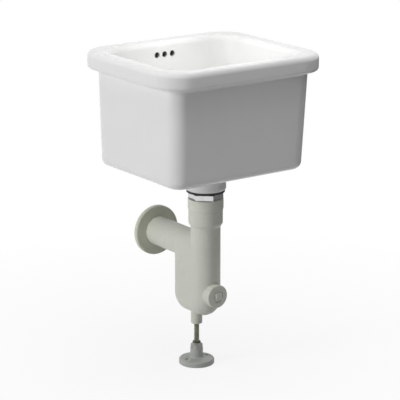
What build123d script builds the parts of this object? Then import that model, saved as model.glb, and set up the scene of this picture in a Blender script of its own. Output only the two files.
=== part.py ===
from build123d import *
from math import cos, radians, tan
import os

# Wall-hung laundry sink: ceramic basin, drain fitting, cast iron trap and floor foot.
# All sizes are in millimetres. X runs along the rim, Y towards the wall, Z up.
# The origin is on the floor, below the middle of the rim.

# Basin rim
rim_width = 450.0
rim_depth = 400.0
rim_height = 41.0
rim_corner_radius = 75.0
rim_top_rounding = 12.5
rim_low_rounding = 9.0

# Basin body under the rim
rim_overhang = 29.5
body_height = 237.0
body_corner_radius = 36.0
body_low_rounding = 19.0
under_rim_cove = 12.5
side_draft = 1.7
front_draft = 3.1

# Bowl inside the basin
basin_wall = 15.5
bowl_corner_radius = 50.0
bowl_mouth_rounding = 14.0
bowl_floor_thickness = 34.0
bowl_floor_rounding = 35.0
sump_radius = 88.0
sump_fall = 4.0

# Outlet boss and hole in the ceramic
drain_y = -12.0
outlet_gap = 2.0
boss_wall = 18.0
boss_length = 52.0
boss_rounding = 7.0
seat_margin = 3.0
seat_depth = 5.0

# Overflow holes, and the duct from them to the outlet
overflow_radius = 7.25
overflow_spacing = 22.0
overflow_count = 3
overflow_drop = 32.0
duct_width = 70.0
duct_depth = 14.0
duct_wall = 12.0
duct_back_wall = 10.0
duct_side_wall = 17.0
duct_head = 10.0
floor_duct_width = 40.0
floor_duct_height = 10.0
floor_duct_cover = 10.0
bulge_rounding = 12.0

# Wall hangers and their pockets in the rim
hanger_x = 115.0
hanger_width = 56.0
hanger_thickness = 5.0
hanger_bend_radius = 6.0
hanger_drop = 79.0
hanger_reach = 14.0
pocket_depth = 18.0
pocket_gap = 2.5
pocket_end_gap = 3.0
pad_height = 4.0
pad_skirt = 12.0
pad_side = 1.5
hanger_shelf_gap = 7.0
hanger_hole_radius = 3.5
hanger_hole_spacing = 35.0
hanger_hole_low = 16.0

# Drain fitting, whose tail slides into the front leg of the trap
tail_play = 0.5
tail_wall = 4.5
tail_insertion = 20.0
drain_flange_radius = 43.0
drain_flange_thickness = 4.0
drain_flange_rounding = 1.8
drain_seal_thickness = 2.0
drain_seal_inset = 1.0
plug_seat_depth = 14.0
plug_seat_flare = 3.5
strainer_drop = 23.0
strainer_thickness = 2.0
strainer_hole_radius = 2.4
strainer_inner_radius = 10.5
strainer_inner_count = 6
strainer_outer_radius = 17.5
strainer_outer_count = 12
spider_height = 10.0
spider_width = 5.0
spider_hub_radius = 6.5
strainer_screw_radius = 3.0
strainer_screw_length = 13.0
strainer_head_radius = 5.5
strainer_head_height = 3.0
strainer_head_rounding = 2.0
strainer_slot_width = 1.4
strainer_slot_depth = 1.5
window_width = 12.0
window_height = 14.0
window_count = 3
window_drop = 50.0

# Rubber stopper and its pull
stopper_gap = 0.3
stopper_height = 18.0
stopper_rounding = 2.0
knob_stem_radius = 3.2
knob_stem_height = 11.0
knob_root = 8.0
knob_radius = 9.0
knob_height = 7.0
knob_rounding = 3.0

# Gasket, washer and lock nut under the ceramic
outlet_gasket_inset = 3.0
outlet_gasket_thickness = 4.3
outlet_gasket_rounding = 1.2
friction_washer_width = 9.0
friction_washer_thickness = 1.7
drain_nut_wall = 13.0
drain_nut_height = 14.0
drain_nut_turn = 19.2
drain_nut_chamfer = 1.2
nut_gap = 0.3

# Fits between round pieces
thread_fit = 0.1
ring_fit = 0.3
ring_touch = 0.1

# Trap inlet
packing_section = 4.6
packing_seat_depth = 16.0
packing_height = 12.0
spigot_wall = 2.4
spigot_height = 17.0
union_nut_wall = 6.4
union_nut_height = 25.7
union_nut_lip = 7.0
union_nut_rounding = 1.5
socket_lip = 5.0
socket_height = 46.0
socket_shoulder = 14.0

# Trap casting
pipe_radius = 35.5
pipe_wall = 6.0
partition_wall = 7.0
bend_radius = 45.0
arm_rise = 166.0
arm_to_socket = 56.0
arm_crotch_rounding = 5.0
arm_root_rounding = 3.0

# Cleanout on the front of the trap
cleanout_rise = 60.0
cleanout_reach = 3.5
cleanout_bore_radius = 22.0
cleanout_stub_wall = 4.5
cleanout_root_rounding = 4.0
cleanout_gasket_thickness = 2.0
cleanout_gasket_inset = 0.5
cleanout_cap_lip = 1.5
cleanout_cap_thickness = 9.0
cleanout_cap_rounding = 2.5
cleanout_shank_length = 13.0
cleanout_shank_chamfer = 1.5
cleanout_recess_radius = 15.0
cleanout_recess_depth = 1.5
lug_size = 17.0
lug_height = 6.5
lug_rounding = 2.0
lug_edge_rounding = 1.0
lug_taper = 3.0

# Wall flange on the waste arm
wall_flange_radius = 62.0
wall_flange_thickness = 10.0
wall_flange_wall = 4.0
wall_flange_rise = 1.5
wall_flange_rounding = 4.0
wall_flange_hub_wall = 6.2
flange_ring_section = 1.4
flange_groove_depth = 3.0
flange_fit = 0.3

# Floor foot
foot_offset = 4.0
stud_boss_radius = 14.0
stud_boss_length = 29.0
stud_boss_rounding = 3.0
stud_radius = 6.35
stud_pitch = 2.117
stud_thread_depth = 1.15
stud_exposed = 46.0
stud_engagement = 15.0
stud_hole_depth = 27.0
foot_radius = 43.0
foot_edge_height = 13.0
foot_edge_rounding = 4.5
foot_base_chamfer = 1.5
foot_rise = 2.5
foot_hub_radius = 15.5
foot_hub_rounding = 5.0
foot_hub_height = 39.8
foot_hub_edge = 1.0
foot_floor_thickness = 6.0
foot_hole_spacing = 54.0
foot_hole_radius = 3.5
foot_sink_radius = 7.2
foot_nut_flats = 29.0
foot_nut_height = 12.2
foot_nut_shoulder = 6.0
foot_nut_chamfer = 0.8
foot_nut_crown_radius = 10.0
foot_nut_turn = 54.2
foot_ring_radius = 9.5
foot_ring_height = 4.0
foot_ring_rounding = 1.0

# Levels, from the floor up through the foot and the trap
foot_nut_top_z = foot_hub_height + foot_nut_height
stud_boss_low_z = foot_nut_top_z + foot_ring_height + stud_exposed
stud_top_z = stud_boss_low_z + stud_engagement
trap_low_z = stud_boss_low_z + stud_boss_length
bend_z = trap_low_z + bend_radius
run_z = trap_low_z + pipe_radius
cleanout_z = trap_low_z + cleanout_rise
arm_z = trap_low_z + arm_rise
socket_low_z = arm_z + arm_to_socket
collar_shoulder_z = socket_low_z + socket_shoulder
union_low_z = socket_low_z + socket_height
union_top_z = union_low_z + union_nut_height
spigot_top_z = union_low_z + spigot_height
packing_low_z = spigot_top_z - packing_seat_depth
slip_ring_low_z = packing_low_z + packing_height

# Levels, from the trap inlet up through the drain fitting and the basin
drain_nut_low_z = union_top_z + nut_gap
washer_low_z = drain_nut_low_z + drain_nut_height
gasket_low_z = washer_low_z + friction_washer_thickness
boss_low_z = gasket_low_z + outlet_gasket_thickness
body_low_z = boss_low_z + boss_length
bowl_floor_z = body_low_z + bowl_floor_thickness
sump_z = bowl_floor_z - sump_fall
seat_z = sump_z - seat_depth
flange_low_z = seat_z + drain_seal_thickness
flange_top_z = flange_low_z + drain_flange_thickness
tail_low_z = packing_low_z - tail_insertion
strainer_z = flange_top_z - strainer_drop
rim_low_z = body_low_z + body_height
rim_top_z = rim_low_z + rim_height
overflow_z = rim_top_z - overflow_drop
duct_low_z = body_low_z + floor_duct_cover

# Plan sizes that follow from the basin
wall_y = rim_depth / 2
body_width = rim_width - 2 * rim_overhang
body_depth = rim_depth - 2 * rim_overhang
body_back_y = body_depth / 2
bowl_width = body_width - 2 * basin_wall
bowl_depth = body_depth - 2 * basin_wall
bowl_back_y = bowl_depth / 2
duct_front_y = bowl_back_y + duct_wall
duct_y = duct_front_y + duct_depth / 2
bulge_back_y = duct_front_y + duct_depth + duct_back_wall
bulge_width = duct_width + 2 * duct_side_wall

# Radii that follow from the trap pipe and from the drain tail inside it
pipe_bore = pipe_radius - pipe_wall
tail_outer_radius = pipe_bore - tail_play
tail_bore_radius = tail_outer_radius - tail_wall
outlet_radius = tail_outer_radius + outlet_gap
boss_radius = outlet_radius + boss_wall
seat_radius = drain_flange_radius + seat_margin
outlet_gasket_radius = boss_radius - outlet_gasket_inset
drain_nut_corner_radius = tail_outer_radius + drain_nut_wall
packing_seat_radius = tail_outer_radius + packing_section
spigot_radius = packing_seat_radius + spigot_wall
union_nut_radius = spigot_radius + thread_fit + union_nut_wall
socket_radius = spigot_radius + socket_lip

# Trap, cleanout and foot axes
leg_spacing = 2 * pipe_bore + partition_wall
back_leg_y = drain_y + leg_spacing
trap_mid_y = drain_y + leg_spacing / 2
bend_axis_offset = bend_radius - pipe_radius
front_bend_y = drain_y + bend_axis_offset
back_bend_y = back_leg_y - bend_axis_offset
cleanout_face_y = drain_y - pipe_radius - cleanout_reach
cleanout_stub_radius = cleanout_bore_radius + cleanout_stub_wall
foot_y = trap_mid_y + foot_offset
stud_bore_radius = stud_radius + thread_fit
drain_axis = Axis((0, drain_y, 0), (0, 0, 1))
arm_axis = Axis((0, 0, arm_z), (0, 1, 0))
foot_axis = Axis((0, foot_y, 0), (0, 0, 1))

os.makedirs("parts", exist_ok=True)

# Bowl cavity: a tapered tub with a rounded floor that falls to the sump.
bowl_height = rim_top_z - bowl_floor_z
bowl_side_inset = bowl_height * tan(radians(side_draft))
bowl_front_inset = bowl_height * tan(radians(front_draft))
with BuildPart() as bowl_space:
    with BuildSketch(Plane.XY.offset(bowl_floor_z)):
        with Locations((0, bowl_front_inset / 2)):
            RectangleRounded(
                bowl_width - 2 * bowl_side_inset,
                bowl_depth - bowl_front_inset,
                bowl_corner_radius,
            )
    with BuildSketch(Plane.XY.offset(rim_top_z)):
        RectangleRounded(bowl_width, bowl_depth, bowl_corner_radius)
    loft()
    fillet(bowl_space.faces().sort_by(Axis.Z)[0].edges(), bowl_floor_rounding)
    with Locations((0, drain_y, sump_z)):
        Cone(
            seat_radius,
            sump_radius,
            sump_fall,
            align=(Align.CENTER, Align.CENTER, Align.MIN),
        )

# Rim slab with its rolled outer edge.
with BuildPart() as rim_slab:
    with BuildSketch(Plane.XY.offset(rim_low_z)):
        RectangleRounded(rim_width, rim_depth, rim_corner_radius)
    extrude(amount=rim_height)
    fillet(rim_slab.faces().sort_by(Axis.Z)[-1].edges(), rim_top_rounding)
    fillet(rim_slab.faces().sort_by(Axis.Z)[0].edges(), rim_low_rounding)

# Bulge on the back of the body that holds the overflow duct.
with BuildPart() as duct_bulge:
    with BuildSketch(Plane.XY.offset(body_low_z)):
        with Locations((0, body_back_y)):
            RectangleRounded(bulge_width, 2 * (bulge_back_y - body_back_y), bulge_rounding)
    extrude(amount=body_height)
    fillet(duct_bulge.faces().sort_by(Axis.Z)[0].edges(), bulge_rounding)

# Basin: tapered body, rim, outlet boss, overflow duct and hanger pockets.
body_side_inset = body_height * tan(radians(side_draft))
body_front_inset = body_height * tan(radians(front_draft))
pocket_y = wall_y - hanger_reach - hanger_thickness / 2
pocket_width = hanger_width + 2 * pocket_end_gap
pocket_span = hanger_thickness + 2 * pocket_gap
with BuildPart() as basin:
    with BuildSketch(Plane.XY.offset(body_low_z)):
        with Locations((0, body_front_inset / 2)):
            RectangleRounded(
                body_width - 2 * body_side_inset,
                body_depth - body_front_inset,
                body_corner_radius,
            )
    with BuildSketch(Plane.XY.offset(rim_low_z)):
        RectangleRounded(body_width, body_depth, body_corner_radius)
    loft()
    fillet(basin.faces().sort_by(Axis.Z)[0].edges(), body_low_rounding)
    add(rim_slab.part)
    underside = basin.faces().filter_by(Plane.XY).sort_by(Axis.Z)[1]
    fillet(underside.inner_wires()[0].edges(), under_rim_cove)
    add(duct_bulge.part)
    with Locations((0, drain_y, boss_low_z)):
        Cylinder(
            boss_radius,
            boss_length + body_low_rounding,
            align=(Align.CENTER, Align.CENTER, Align.MIN),
        )
    fillet(basin.faces().sort_by(Axis.Z)[0].edges(), boss_rounding)
    add(bowl_space.part, mode=Mode.SUBTRACT)
    mouth = basin.faces().sort_by(Axis.Z)[-1].inner_wires()[0]
    fillet(mouth.edges(), bowl_mouth_rounding)
    with Locations((0, drain_y, sump_z)):
        CounterBoreHole(outlet_radius, seat_radius, seat_depth, sump_z - boss_low_z)
    with BuildSketch(Plane.XY.offset(duct_low_z)):
        with Locations((0, duct_y)):
            SlotOverall(duct_width, duct_depth)
    extrude(amount=overflow_z + duct_head - duct_low_z, mode=Mode.SUBTRACT)
    with BuildSketch(Plane.XZ.offset(-drain_y)):
        with Locations((0, duct_low_z + floor_duct_height / 2)):
            SlotOverall(floor_duct_width, floor_duct_height)
    extrude(amount=drain_y - duct_y, mode=Mode.SUBTRACT)
    with BuildSketch(Plane.XZ.offset(-duct_y)):
        with Locations((0, overflow_z)):
            with GridLocations(overflow_spacing, 0, overflow_count, 1):
                Circle(overflow_radius)
    extrude(amount=duct_y - bowl_back_y + bowl_mouth_rounding, mode=Mode.SUBTRACT)
    with BuildSketch(Plane.XY.offset(rim_low_z - under_rim_cove)):
        with Locations((-hanger_x, pocket_y), (hanger_x, pocket_y)):
            SlotOverall(pocket_width, pocket_span)
    extrude(amount=under_rim_cove + pocket_depth, mode=Mode.SUBTRACT)
basin.part.label = "basin"
export_step(basin.part, "parts/basin.step")

# Wall hangers: bent steel, screwed to the wall, each with a tongue up into the rim.
tongue_y = wall_y - hanger_reach
pocket_roof_z = rim_low_z + pocket_depth
tongue_top_z = pocket_roof_z - pad_height
shelf_z = rim_low_z - hanger_shelf_gap
hanger_low_z = shelf_z - hanger_drop
hanger_screw_z = hanger_low_z + hanger_hole_low
for side, hanger_name in ((-1, "hanger_left"), (1, "hanger_right")):
    with BuildPart() as hanger:
        with BuildSketch(Plane.YZ.offset(side * hanger_x - hanger_width / 2)):
            with BuildLine():
                outer = FilletPolyline(
                    (wall_y, hanger_low_z),
                    (wall_y, shelf_z),
                    (tongue_y, shelf_z),
                    (tongue_y, tongue_top_z),
                    radius=hanger_bend_radius,
                )
                offset(outer, amount=hanger_thickness, side=Side.LEFT)
            make_face()
        extrude(amount=hanger_width)
        with BuildSketch(Plane.XZ.offset(-wall_y)):
            with Locations((side * hanger_x, hanger_screw_z + hanger_hole_spacing / 2)):
                with GridLocations(0, hanger_hole_spacing, 1, 2):
                    Circle(hanger_hole_radius)
        extrude(amount=hanger_thickness, mode=Mode.SUBTRACT)
    hanger.part.label = hanger_name
    export_step(hanger.part, f"parts/{hanger_name}.step")

# Rubber pads that cap the hanger tongues inside the pockets.
with BuildPart() as hanger_pads:
    with BuildSketch(Plane.XY.offset(tongue_top_z - pad_skirt)):
        with Locations((-hanger_x, pocket_y), (hanger_x, pocket_y)):
            Rectangle(hanger_width, hanger_thickness + 2 * pad_side)
            Rectangle(hanger_width, hanger_thickness, mode=Mode.SUBTRACT)
    extrude(amount=pad_skirt)
    with BuildSketch(Plane.XY.offset(tongue_top_z)):
        with Locations((-hanger_x, pocket_y), (hanger_x, pocket_y)):
            Rectangle(hanger_width, hanger_thickness + 2 * pad_side)
    extrude(amount=pad_height)
hanger_pads.part.label = "hanger_pads"
export_step(hanger_pads.part, "parts/hanger_pads.step")

# Drain flange: dished seat for the stopper, long tail, and a spider under the strainer.
seat_top_radius = tail_bore_radius + plug_seat_flare
spider_length = tail_outer_radius + tail_bore_radius
with BuildPart() as drain_flange:
    with BuildSketch(Plane.XZ.offset(-drain_y)):
        with BuildLine():
            Polyline(
                (seat_top_radius, flange_top_z),
                (drain_flange_radius, flange_top_z),
                (drain_flange_radius, flange_low_z),
                (tail_outer_radius, flange_low_z),
                (tail_outer_radius, tail_low_z),
                (tail_bore_radius, tail_low_z),
                (tail_bore_radius, flange_top_z - plug_seat_depth),
                close=True,
            )
        make_face()
    revolve(axis=drain_axis)
    fillet(drain_flange.edges().group_by(Axis.Z)[-1], drain_flange_rounding)
    with BuildSketch(Plane.XY.offset(strainer_z - spider_height)):
        with Locations((0, drain_y)):
            Rectangle(spider_length, spider_width)
            Rectangle(spider_width, spider_length)
            Circle(spider_hub_radius)
            Circle(strainer_screw_radius, mode=Mode.SUBTRACT)
    extrude(amount=spider_height)
    with Locations((0, drain_y, flange_low_z - window_drop)):
        with PolarLocations(0, window_count):
            Box(
                tail_outer_radius + pipe_wall,
                window_width,
                window_height,
                align=(Align.MIN, Align.CENTER, Align.CENTER),
                mode=Mode.SUBTRACT,
            )
drain_flange.part.label = "drain_flange"
export_step(drain_flange.part, "parts/drain_flange.step")

# Seal between the drain flange and the ceramic.
with BuildPart() as drain_flange_seal:
    with BuildSketch(Plane.XY.offset(seat_z)):
        with Locations((0, drain_y)):
            Circle(drain_flange_radius - drain_seal_inset)
            Circle(outlet_radius, mode=Mode.SUBTRACT)
    extrude(amount=drain_seal_thickness)
drain_flange_seal.part.label = "drain_flange_seal"
export_step(drain_flange_seal.part, "parts/drain_flange_seal.step")

# Perforated strainer disc, held by one screw in the spider.
with BuildPart() as drain_strainer:
    with BuildSketch(Plane.XY.offset(strainer_z)):
        with Locations((0, drain_y)):
            Circle(tail_bore_radius - ring_fit)
            Circle(strainer_screw_radius, mode=Mode.SUBTRACT)
            with PolarLocations(strainer_inner_radius, strainer_inner_count):
                Circle(strainer_hole_radius, mode=Mode.SUBTRACT)
            with PolarLocations(strainer_outer_radius, strainer_outer_count):
                Circle(strainer_hole_radius, mode=Mode.SUBTRACT)
    extrude(amount=strainer_thickness)
drain_strainer.part.label = "drain_strainer"
export_step(drain_strainer.part, "parts/drain_strainer.step")

# Strainer screw with a domed, slotted head.
head_low_z = strainer_z + strainer_thickness
with BuildPart() as strainer_screw:
    with BuildSketch(Plane.XY.offset(head_low_z - strainer_screw_length)):
        with Locations((0, drain_y)):
            Circle(strainer_screw_radius)
    extrude(amount=strainer_screw_length)
    with BuildSketch(Plane.XY.offset(head_low_z)):
        with Locations((0, drain_y)):
            Circle(strainer_head_radius)
    extrude(amount=strainer_head_height)
    fillet(strainer_screw.edges().group_by(Axis.Z)[-1], strainer_head_rounding)
    with Locations((0, drain_y, head_low_z + strainer_head_height)):
        Box(
            2 * strainer_head_radius,
            strainer_slot_width,
            2 * strainer_slot_depth,
            mode=Mode.SUBTRACT,
        )
strainer_screw.part.label = "strainer_screw"
export_step(strainer_screw.part, "parts/strainer_screw.step")

# Tapered rubber stopper, a little clear of the seat it closes.
seat_slope = plug_seat_flare / plug_seat_depth
stopper_low_radius = tail_bore_radius - stopper_gap
stopper_low_z = flange_top_z - plug_seat_depth
stopper_top_z = stopper_low_z + stopper_height
with BuildPart() as rubber_stopper:
    with Locations((0, drain_y, stopper_low_z)):
        Cone(
            stopper_low_radius,
            stopper_low_radius + stopper_height * seat_slope,
            stopper_height,
            align=(Align.CENTER, Align.CENTER, Align.MIN),
        )
    fillet(rubber_stopper.edges().group_by(Axis.Z)[-1], stopper_rounding)
    fillet(rubber_stopper.edges().group_by(Axis.Z)[0], stopper_rounding)
    with Locations((0, drain_y, stopper_top_z)):
        Hole(knob_stem_radius, knob_root)
rubber_stopper.part.label = "rubber_stopper"
export_step(rubber_stopper.part, "parts/rubber_stopper.step")

# Metal pull, rooted in the stopper.
knob_low_z = stopper_top_z + knob_stem_height
with BuildPart() as stopper_knob:
    with BuildSketch(Plane.XY.offset(stopper_top_z - knob_root)):
        with Locations((0, drain_y)):
            Circle(knob_stem_radius)
    extrude(amount=knob_root + knob_stem_height)
    with BuildSketch(Plane.XY.offset(knob_low_z)):
        with Locations((0, drain_y)):
            Circle(knob_radius)
    extrude(amount=knob_height)
    fillet(stopper_knob.edges().group_by(Axis.Z)[-1], knob_rounding)
    fillet(stopper_knob.edges().filter_by(GeomType.CIRCLE).sort_by(SortBy.RADIUS)[-1], knob_rounding)
stopper_knob.part.label = "stopper_knob"
export_step(stopper_knob.part, "parts/stopper_knob.step")

# Black rubber gasket under the outlet boss.
with BuildPart() as outlet_gasket:
    with BuildSketch(Plane.XY.offset(gasket_low_z)):
        with Locations((0, drain_y)):
            Circle(outlet_gasket_radius)
            Circle(tail_outer_radius + ring_fit, mode=Mode.SUBTRACT)
    extrude(amount=outlet_gasket_thickness)
    rims = outlet_gasket.edges().filter_by(GeomType.CIRCLE).sort_by(SortBy.RADIUS)[-2:]
    fillet(rims, outlet_gasket_rounding)
outlet_gasket.part.label = "outlet_gasket"
export_step(outlet_gasket.part, "parts/outlet_gasket.step")

# Thin metal washer that lets the nut turn without dragging the gasket.
with BuildPart() as friction_washer:
    with BuildSketch(Plane.XY.offset(washer_low_z)):
        with Locations((0, drain_y)):
            Circle(tail_outer_radius + friction_washer_width)
            Circle(tail_outer_radius + ring_fit, mode=Mode.SUBTRACT)
    extrude(amount=friction_washer_thickness)
friction_washer.part.label = "friction_washer"
export_step(friction_washer.part, "parts/friction_washer.step")

# Hexagonal lock nut on the drain tail.
with BuildPart() as drain_lock_nut:
    with BuildSketch(Plane.XY.offset(drain_nut_low_z)):
        with Locations((0, drain_y)):
            RegularPolygon(drain_nut_corner_radius, 6, rotation=drain_nut_turn)
            Circle(tail_outer_radius + thread_fit, mode=Mode.SUBTRACT)
    extrude(amount=drain_nut_height)
    ends = drain_lock_nut.edges().filter_by(GeomType.LINE).filter_by(Axis.Z, reverse=True)
    chamfer(ends, drain_nut_chamfer)
drain_lock_nut.part.label = "drain_lock_nut"
export_step(drain_lock_nut.part, "parts/drain_lock_nut.step")

# Union nut round the head of the trap, with a lip that presses the slip ring down.
with BuildPart() as inlet_union_nut:
    with BuildSketch(Plane.XY.offset(union_low_z)):
        with Locations((0, drain_y)):
            Circle(union_nut_radius)
            Circle(spigot_radius + thread_fit, mode=Mode.SUBTRACT)
    extrude(amount=union_nut_height - union_nut_lip)
    with BuildSketch(Plane.XY.offset(union_top_z - union_nut_lip)):
        with Locations((0, drain_y)):
            Circle(union_nut_radius)
            Circle(tail_outer_radius + ring_fit, mode=Mode.SUBTRACT)
    extrude(amount=union_nut_lip)
    rims = inlet_union_nut.edges().filter_by(GeomType.CIRCLE).sort_by(SortBy.RADIUS)[-2:]
    fillet(rims, union_nut_rounding)
inlet_union_nut.part.label = "inlet_union_nut"
export_step(inlet_union_nut.part, "parts/inlet_union_nut.step")

# Metal slip ring between the union nut and the packing.
with BuildPart() as inlet_slip_ring:
    with BuildSketch(Plane.XY.offset(slip_ring_low_z)):
        with Locations((0, drain_y)):
            Circle(packing_seat_radius - ring_fit)
            Circle(tail_outer_radius + ring_fit, mode=Mode.SUBTRACT)
    extrude(amount=union_top_z - union_nut_lip - slip_ring_low_z)
inlet_slip_ring.part.label = "inlet_slip_ring"
export_step(inlet_slip_ring.part, "parts/inlet_slip_ring.step")

# Rubber packing round the drain tail.
with BuildPart() as inlet_packing:
    with BuildSketch(Plane.XY.offset(packing_low_z)):
        with Locations((0, drain_y)):
            Circle(packing_seat_radius - ring_touch)
            Circle(tail_outer_radius + ring_touch, mode=Mode.SUBTRACT)
    extrude(amount=packing_height)
inlet_packing.part.label = "inlet_packing"
export_step(inlet_packing.part, "parts/inlet_packing.step")

# Two quarter bends and the level run between the legs, at one pipe radius.
def trap_bottom(radius):
    with BuildPart() as bottom:
        for leg_y, bend_y, turn in ((drain_y, front_bend_y, 1), (back_leg_y, back_bend_y, -1)):
            with BuildSketch(Plane.XY.offset(bend_z)):
                with Locations((0, leg_y)):
                    Circle(radius)
                with Locations((0, bend_y - turn * pipe_radius)):
                    Rectangle(2 * pipe_radius, 2 * pipe_radius, mode=Mode.INTERSECT)
            revolve(axis=Axis((0, bend_y, bend_z), (turn, 0, 0)), revolution_arc=90)
        with BuildSketch(Plane.XZ.offset(-back_bend_y)):
            with Locations((0, run_z)):
                Circle(radius)
        extrude(amount=back_bend_y - front_bend_y)
    return bottom.part


# Waterway: down the front leg, under the wall between the legs, up the back leg
# and out along the waste arm, with the packing seat and the cleanout bore.
bore_bottom = trap_bottom(pipe_bore)
with BuildPart() as waterway:
    with BuildSketch(Plane.XY.offset(bend_z)):
        with Locations((0, drain_y)):
            Circle(pipe_bore)
    extrude(amount=spigot_top_z - bend_z)
    with BuildSketch(Plane.XY.offset(packing_low_z)):
        with Locations((0, drain_y)):
            Circle(packing_seat_radius)
    extrude(amount=packing_seat_depth)
    with BuildSketch(Plane.XY.offset(bend_z)):
        with Locations((0, back_leg_y)):
            Circle(pipe_bore)
    extrude(amount=arm_z - bend_z)
    add(bore_bottom)
    with BuildSketch(Plane.XZ.offset(-wall_y)):
        with Locations((0, arm_z)):
            Circle(pipe_bore)
    extrude(amount=wall_y - back_leg_y + pipe_bore)
    with BuildSketch(Plane.XZ.offset(-drain_y)):
        with Locations((0, cleanout_z)):
            Circle(cleanout_bore_radius)
    extrude(amount=drain_y - cleanout_face_y)

# Trap casting: inlet collar, oblong two-leg body, waste arm, cleanout stub and stud boss.
casting_bottom = trap_bottom(pipe_radius)
with BuildPart() as trap_body:
    with BuildSketch(Plane.XY.offset(bend_z)):
        with Locations((0, trap_mid_y)):
            SlotCenterToCenter(leg_spacing, 2 * pipe_radius, rotation=90)
    extrude(amount=arm_z - bend_z)
    with BuildSketch(Plane.YZ):
        with Locations((trap_mid_y, bend_z)):
            SlotOverall(leg_spacing, 2 * bend_axis_offset)
    extrude(amount=pipe_radius, both=True)
    add(casting_bottom)
    with BuildSketch(Plane.XZ.offset(-wall_y)):
        with Locations((0, arm_z)):
            Circle(pipe_radius)
    extrude(amount=wall_y - drain_y)
    with BuildSketch(Plane.XY.offset(arm_z)):
        with Locations((0, drain_y)):
            Circle(pipe_radius)
    extrude(amount=collar_shoulder_z - arm_z)
    mitres = trap_body.edges().filter_by(GeomType.ELLIPSE).sort_by(Axis.Y)
    fillet(mitres[-2:], arm_crotch_rounding)
    mitres = trap_body.edges().filter_by(GeomType.ELLIPSE).sort_by(Axis.Y)
    fillet(mitres[:2], arm_root_rounding)
    with BuildSketch(Plane.XZ.offset(-drain_y)):
        with BuildLine():
            Polyline(
                (0, collar_shoulder_z),
                (0, spigot_top_z),
                (spigot_radius, spigot_top_z),
                (spigot_radius, union_low_z),
                (socket_radius, union_low_z),
                (socket_radius, collar_shoulder_z),
            )
            Spline(
                (socket_radius, collar_shoulder_z),
                (pipe_radius, socket_low_z),
                tangents=((0, -1), (0, -1)),
            )
            Polyline((pipe_radius, socket_low_z), (0, socket_low_z), (0, collar_shoulder_z))
        make_face()
    revolve(axis=drain_axis)
    with BuildSketch(Plane.XZ.offset(-drain_y)):
        with Locations((0, cleanout_z)):
            Circle(cleanout_stub_radius)
    extrude(amount=drain_y - cleanout_face_y)
    fillet(trap_body.edges(Select.NEW), cleanout_root_rounding)
    with BuildSketch(Plane.XY.offset(stud_boss_low_z)):
        with Locations((0, foot_y)):
            Circle(stud_boss_radius)
    extrude(amount=run_z - stud_boss_low_z)
    fillet(trap_body.edges(Select.NEW), stud_boss_rounding)
    fillet(trap_body.edges().group_by(Axis.Z)[0], stud_boss_rounding)
    add(waterway.part, mode=Mode.SUBTRACT)
    with BuildSketch(Plane.XY.offset(stud_boss_low_z)):
        with Locations((0, foot_y)):
            Circle(stud_bore_radius)
    extrude(amount=stud_hole_depth, mode=Mode.SUBTRACT)
trap_body.part.label = "trap_body"
export_step(trap_body.part, "parts/trap_body.step")

# Ring that seals the cleanout plug on the stub.
with BuildPart() as cleanout_gasket:
    with BuildSketch(Plane.XZ.offset(-cleanout_face_y)):
        with Locations((0, cleanout_z)):
            Circle(cleanout_stub_radius - cleanout_gasket_inset)
            Circle(cleanout_bore_radius + ring_fit, mode=Mode.SUBTRACT)
    extrude(amount=cleanout_gasket_thickness)
cleanout_gasket.part.label = "cleanout_gasket"
export_step(cleanout_gasket.part, "parts/cleanout_gasket.step")

# Cleanout plug: threaded shank, round cap and a square lug in a shallow recess.
cap_back_y = cleanout_face_y - cleanout_gasket_thickness
cap_front_y = cap_back_y - cleanout_cap_thickness
recess_y = cap_front_y + cleanout_recess_depth
shank_back_y = cap_back_y + cleanout_shank_length
with BuildPart() as cleanout_plug:
    with BuildSketch(Plane.XZ.offset(-shank_back_y)):
        with Locations((0, cleanout_z)):
            Circle(cleanout_bore_radius - thread_fit)
    extrude(amount=cleanout_shank_length)
    chamfer(cleanout_plug.edges().group_by(Axis.Y)[-1], cleanout_shank_chamfer)
    with BuildSketch(Plane.XZ.offset(-cap_back_y)):
        with Locations((0, cleanout_z)):
            Circle(cleanout_stub_radius + cleanout_cap_lip)
    extrude(amount=cleanout_cap_thickness)
    fillet(cleanout_plug.edges().group_by(Axis.Y)[0], cleanout_cap_rounding)
    with BuildSketch(Plane.XZ.offset(-cap_front_y)):
        with Locations((0, cleanout_z)):
            Circle(cleanout_recess_radius)
    extrude(amount=-cleanout_recess_depth, mode=Mode.SUBTRACT)
    with BuildSketch(Plane.XZ.offset(-recess_y)):
        with Locations((0, cleanout_z)):
            RectangleRounded(lug_size, lug_size, lug_rounding)
    extrude(amount=lug_height, taper=lug_taper)
    fillet(cleanout_plug.faces().sort_by(Axis.Y)[0].edges(), lug_edge_rounding)
cleanout_plug.part.label = "cleanout_plug"
export_step(cleanout_plug.part, "parts/cleanout_plug.step")

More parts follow.
